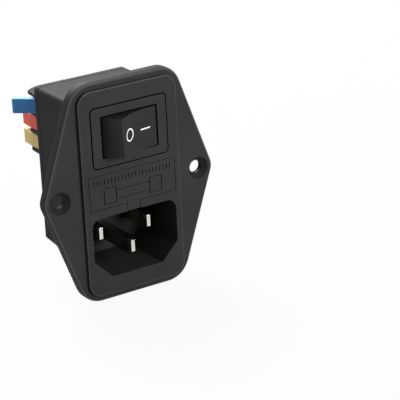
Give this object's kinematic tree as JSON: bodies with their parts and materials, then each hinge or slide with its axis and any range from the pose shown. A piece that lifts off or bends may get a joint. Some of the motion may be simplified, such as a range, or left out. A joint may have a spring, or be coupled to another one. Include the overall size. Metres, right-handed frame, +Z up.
{
  "type": "power entry module",
  "caption": "Panel-mounted mains inlet with a rocker switch, a pull-out fuse drawer and lever wire terminals on its rear cover.",
  "frame": {"origin": "midway between the two mounting screws, in the rear face of the flange, which rests on the equipment panel", "axes": "+Z up along the flange's long side with the switch on top, +Y back into the equipment, +X to the right seen from the front"},
  "size_m": [0.0486, 0.0401, 0.0572],
  "materials": {
    "housing_plastic": "finely textured black moulding",
    "cover_plastic": "finely textured dark grey moulding",
    "rocker_plastic": "satin black",
    "plunger_plastic": "plain natural nylon",
    "spring_steel": "bright spring steel",
    "pin_plating": "nickel plated, smooth",
    "strip_metal": "stamped strip, bright",
    "fuse_glass": "clear tube",
    "fuse_metal": "nickel plated, smooth",
    "lever_yellow": "satin",
    "lever_red": "satin",
    "lever_blue": "satin"
  },
  "bodies": {
    "housing": {"front_shell": "housing_plastic", "rear_cover": "cover_plastic", "terminal_block": "cover_plastic", "switch_frame": "housing_plastic", "fixed_contact_live": "strip_metal", "fixed_contact_neutral": "strip_metal", "pin_live": "pin_plating", "pin_neutral": "pin_plating", "pin_earth": "pin_plating", "strip_live_in": "strip_metal", "strip_fused_live": "strip_metal", "strip_neutral": "strip_metal", "strip_earth": "strip_metal", "fuse_clip_in": "strip_metal", "fuse_clip_out": "strip_metal", "clamp_spring_earth": "spring_steel", "clamp_spring_live": "spring_steel", "clamp_spring_neutral": "spring_steel"},
    "rocker": {"switch_rocker": "rocker_plastic", "rocker_plungers": "plunger_plastic", "plunger_springs": "spring_steel"},
    "live_contact_arm": {"contact_arm_live": "strip_metal"},
    "neutral_contact_arm": {"contact_arm_neutral": "strip_metal"},
    "drawer": {"fuse_drawer": "housing_plastic", "fuse_tube": "fuse_glass", "fuse_caps": "fuse_metal", "fuse_wire": "fuse_metal", "spare_fuse_tube": "fuse_glass", "spare_fuse_caps": "fuse_metal", "spare_fuse_wire": "fuse_metal"},
    "earth_lever": {"lever_earth": "lever_yellow"},
    "live_lever": {"lever_live": "lever_red"},
    "neutral_lever": {"lever_neutral": "lever_blue"}
  },
  "joints": [
    {"name": "rocker_tilt", "type": "hinge", "parent": "housing", "child": "rocker", "pos_m": [0, -0.0016, 0.01455], "axis": [0, 0, 1], "range_deg": [-37.6, 0]},
    {"name": "live_contact_tip", "type": "hinge", "parent": "housing", "child": "live_contact_arm", "pos_m": [0, 0.0082, 0.01188], "axis": [0, 0, 1], "range_deg": [0, 16]},
    {"name": "neutral_contact_tip", "type": "hinge", "parent": "housing", "child": "neutral_contact_arm", "pos_m": [0, 0.0082, 0.01692], "axis": [0, 0, 1], "range_deg": [0, 16]},
    {"name": "drawer_slide", "type": "slide", "parent": "housing", "child": "drawer", "axis": [0, -1, 0], "range_m": [0, 0.016]},
    {"name": "earth_lever_swing", "type": "hinge", "parent": "housing", "child": "earth_lever", "pos_m": [-0.0083, 0.024, 0.00683], "axis": [0, 0, 1], "range_deg": [0, 52]},
    {"name": "live_lever_swing", "type": "hinge", "parent": "housing", "child": "live_lever", "pos_m": [-0.0083, 0.024, 0.01188], "axis": [0, 0, 1], "range_deg": [0, 52]},
    {"name": "neutral_lever_swing", "type": "hinge", "parent": "housing", "child": "neutral_lever", "pos_m": [-0.0083, 0.024, 0.01692], "axis": [0, 0, 1], "range_deg": [-52, 0]}
  ],
  "couplings": [
    {"joint": "live_contact_tip", "follows": "rocker_tilt", "ratio": -0.42553},
    {"joint": "neutral_contact_tip", "follows": "rocker_tilt", "ratio": -0.42553}
  ]
}
